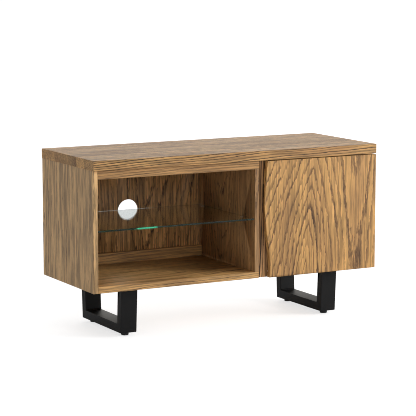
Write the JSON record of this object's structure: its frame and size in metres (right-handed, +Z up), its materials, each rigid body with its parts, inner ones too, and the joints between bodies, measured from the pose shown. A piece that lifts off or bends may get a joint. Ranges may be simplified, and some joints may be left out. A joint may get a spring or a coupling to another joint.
{
  "type": "tv stand",
  "caption": "Low oak cabinet on black steel runner frames: an open bay with a glass shelf and a cable hole, and a cupboard behind a hinged live-edge door.",
  "frame": {"origin": "on the floor, under the middle of the top board", "axes": "+X along the stand to the right as seen from the front, -Y is the front, +Z is up"},
  "size_m": [1.1, 0.428, 0.61],
  "materials": {
    "oak_top": "oiled wild oak, grain along the board",
    "oak": "oiled wild oak",
    "oak_door": "oiled wild oak, upright cathedral grain",
    "oak_back": "oiled oak panel, upright grain",
    "glass": "clear float glass with a ground, green edge",
    "nickel": "bright nickel plate",
    "zinc": "zinc-plated steel",
    "brown_plastic": "matt brown plastic",
    "clear_rubber": "soft clear bumper",
    "black_steel": "fine-textured black powder coat",
    "brass": "turned brass",
    "black_plastic": "matt black plastic",
    "beech": "fluted beech dowel"
  },
  "bodies": {
    "cabinet": {"top_board": "oak_top", "bay_left_side": "oak", "bay_partition": "oak", "bay_bottom_board": "oak", "bay_top_front_rail": "oak", "bay_top_back_rail": "oak", "bay_lower_back_rail": "oak", "bay_back_panel": "oak_back", "glass_shelf": "glass", "glass_shelf_pins": "nickel", "cupboard_left_side": "oak", "cupboard_front_post": "oak", "cupboard_right_side": "oak", "cupboard_bottom_board": "oak", "cupboard_top_front_rail": "oak", "cupboard_top_back_rail": "oak", "cupboard_lower_back_rail": "oak", "cupboard_back_panel": "oak_back", "cupboard_shelf": "oak", "cupboard_shelf_pins": "nickel", "lower_hinge_arm": "nickel", "upper_hinge_arm": "nickel", "lower_hinge_plate": "nickel", "upper_hinge_plate": "nickel", "hinge_plate_screws": "zinc", "magnetic_catch": "brown_plastic", "catch_screws": "zinc", "left_runner_frame": "black_steel", "right_runner_frame": "black_steel", "frame_bolts": "black_steel", "frame_inserts": "brass", "glide_nuts": "zinc", "box_dowels": "beech", "top_screws": "zinc", "back_panel_screws": "zinc", "tie_screws": "zinc", "tie_spacers": "black_plastic"},
    "door": {"door": "oak_door", "lower_hinge_cup": "nickel", "upper_hinge_cup": "nickel", "hinge_pins": "nickel", "hinge_cup_screws": "zinc", "strike_plate": "zinc", "strike_screws": "zinc", "door_bumpers": "clear_rubber"},
    "left_front_foot": {"left_front_glide": "black_plastic"},
    "left_rear_foot": {"left_rear_glide": "black_plastic"},
    "right_front_foot": {"right_front_glide": "black_plastic"},
    "right_rear_foot": {"right_rear_glide": "black_plastic"}
  },
  "joints": [
    {"name": "door_hinge", "type": "hinge", "parent": "cabinet", "child": "door", "pos_m": [0.5403, -0.2038, 0.369], "axis": [0, 0, 1], "range_deg": [0, 105]},
    {"name": "left_front_travel", "type": "slide", "parent": "cabinet", "child": "left_front_foot", "axis": [0, 0, -1], "range_m": [0, 0.008]},
    {"name": "left_rear_travel", "type": "slide", "parent": "cabinet", "child": "left_rear_foot", "axis": [0, 0, -1], "range_m": [0, 0.008]},
    {"name": "right_front_travel", "type": "slide", "parent": "cabinet", "child": "right_front_foot", "axis": [0, 0, -1], "range_m": [0, 0.008]},
    {"name": "right_rear_travel", "type": "slide", "parent": "cabinet", "child": "right_rear_foot", "axis": [0, 0, -1], "range_m": [0, 0.008]}
  ]
}
